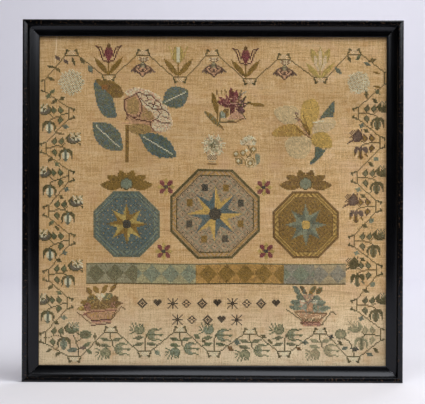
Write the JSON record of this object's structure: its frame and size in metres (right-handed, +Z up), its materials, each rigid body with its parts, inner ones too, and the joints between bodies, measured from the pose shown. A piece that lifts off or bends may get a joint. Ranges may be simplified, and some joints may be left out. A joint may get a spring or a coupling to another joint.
{
  "type": "framed cross stitch sampler",
  "caption": "Linen sampler cloth worked in cross stitch, stretched on a board in a narrow black scoop frame that stands on its bottom rail.",
  "frame": {"origin": "middle of the foot: centre of the width and of the depth, at the underside of the bottom rail", "axes": "+Z up, +X to the right as seen from the front, -Y out of the stitched face; the back of the frame faces +Y"},
  "size_m": [0.457, 0.024, 0.435],
  "materials": {
    "frame_paint": "black satin paint on wood",
    "linen": "aged tan linen, plain weave, with wool and silk cross stitch",
    "hardboard": "plain brown hardboard"
  },
  "bodies": {
    "root": {"rail_bottom": "frame_paint", "rail_top": "frame_paint", "rail_left": "frame_paint", "rail_right": "frame_paint", "sampler_cloth": "linen", "backing_board": "hardboard"}
  },
  "joints": []
}
